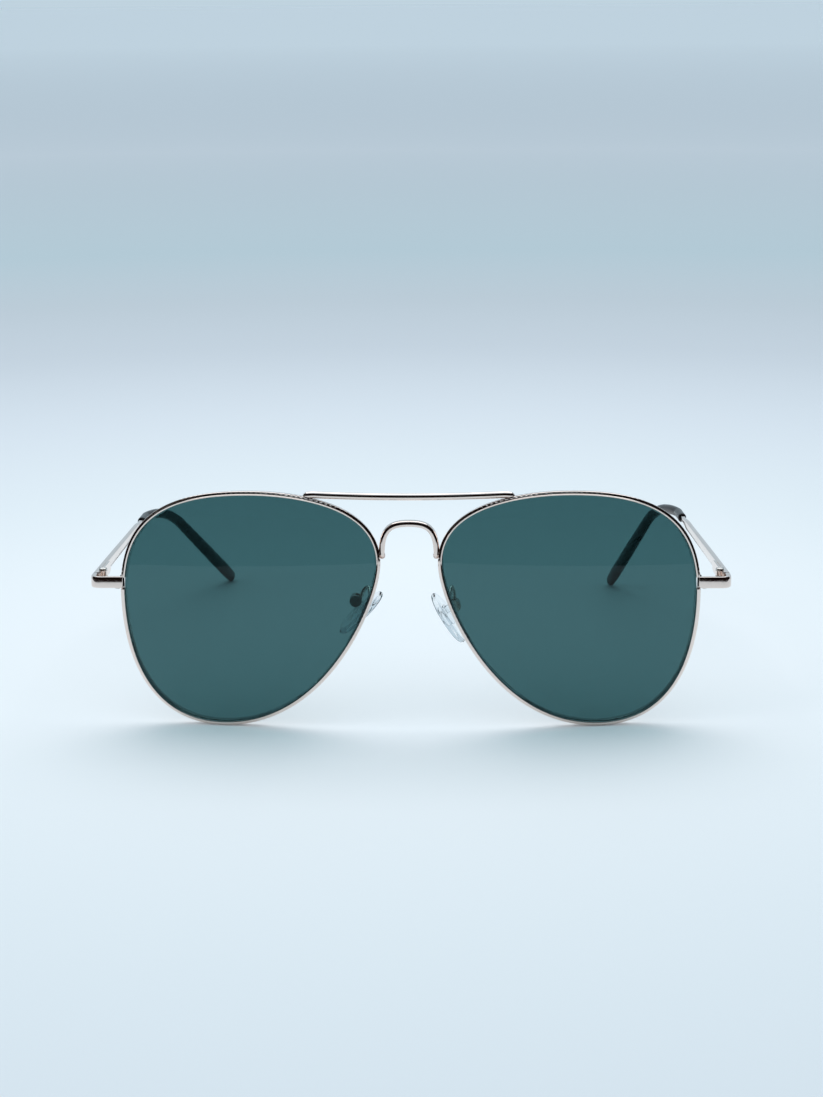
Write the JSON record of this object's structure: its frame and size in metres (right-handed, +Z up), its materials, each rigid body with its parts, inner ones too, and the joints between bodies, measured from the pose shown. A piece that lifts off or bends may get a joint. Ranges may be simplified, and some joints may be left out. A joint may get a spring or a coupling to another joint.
{
  "type": "aviator sunglasses",
  "caption": "Folding metal-framed aviator sunglasses with a double bridge, teardrop tinted lenses, rocking nose pads and hinged temples with moulded tips.",
  "frame": {"origin": "middle of the footprint, on the table that the open glasses stand on", "axes": "+X to the right seen from the front, +Y back along the temples, +Z up"},
  "size_m": [0.1448, 0.1414, 0.0556],
  "materials": {
    "rose_gold": "polished rose-gold plating on nickel silver",
    "screw_metal": "turned steel, fine lathe marks",
    "lens_tint": "polished, tinted green-grey right through",
    "clear_silicone": "clear, softly glossy",
    "tip_acetate": "very dark brown, tumbled gloss"
  },
  "bodies": {
    "front": {"bridge": "rose_gold", "top_bar": "rose_gold", "left_rim": "rose_gold", "left_lens": "lens_tint", "left_rim_lock_upper": "rose_gold", "left_rim_lock_lower": "rose_gold", "left_rim_lock_screw": "screw_metal", "left_pad_arm": "rose_gold", "left_pad_box": "rose_gold", "left_pad_screw": "screw_metal", "left_end_piece": "rose_gold", "left_front_hinge": "rose_gold", "left_hinge_screw": "screw_metal", "right_rim": "rose_gold", "right_lens": "lens_tint", "right_rim_lock_upper": "rose_gold", "right_rim_lock_lower": "rose_gold", "right_rim_lock_screw": "screw_metal", "right_pad_arm": "rose_gold", "right_pad_box": "rose_gold", "right_pad_screw": "screw_metal", "right_end_piece": "rose_gold", "right_front_hinge": "rose_gold", "right_hinge_screw": "screw_metal"},
    "left_pad": {"left_pad_core": "clear_silicone", "left_nose_pad": "clear_silicone"},
    "left_temple_arm": {"left_temple_hinge": "rose_gold", "left_temple": "rose_gold", "left_temple_tip": "tip_acetate"},
    "right_pad": {"right_pad_core": "clear_silicone", "right_nose_pad": "clear_silicone"},
    "right_temple_arm": {"right_temple_hinge": "rose_gold", "right_temple": "rose_gold", "right_temple_tip": "tip_acetate"}
  },
  "joints": [
    {"name": "left_temple_fold", "type": "hinge", "parent": "front", "child": "left_temple_arm", "pos_m": [-0.0701, -0.06, 0.0334], "axis": [0, -0.0262, -0.9997], "range_deg": [0, 75]},
    {"name": "right_temple_fold", "type": "hinge", "parent": "front", "child": "right_temple_arm", "pos_m": [0.0701, -0.06, 0.0334], "axis": [0, 0.0122, 0.9999], "range_deg": [0, 81]},
    {"name": "left_pad_rock", "type": "hinge", "parent": "front", "child": "left_pad", "pos_m": [-0.0124, -0.0611, 0.02863], "axis": [0, 0.9986, 0.0523], "range_deg": [-8, 8]},
    {"name": "right_pad_rock", "type": "hinge", "parent": "front", "child": "right_pad", "pos_m": [0.0101, -0.06104, 0.02743], "axis": [0, 0.9986, 0.0523], "range_deg": [-8, 8]}
  ]
}
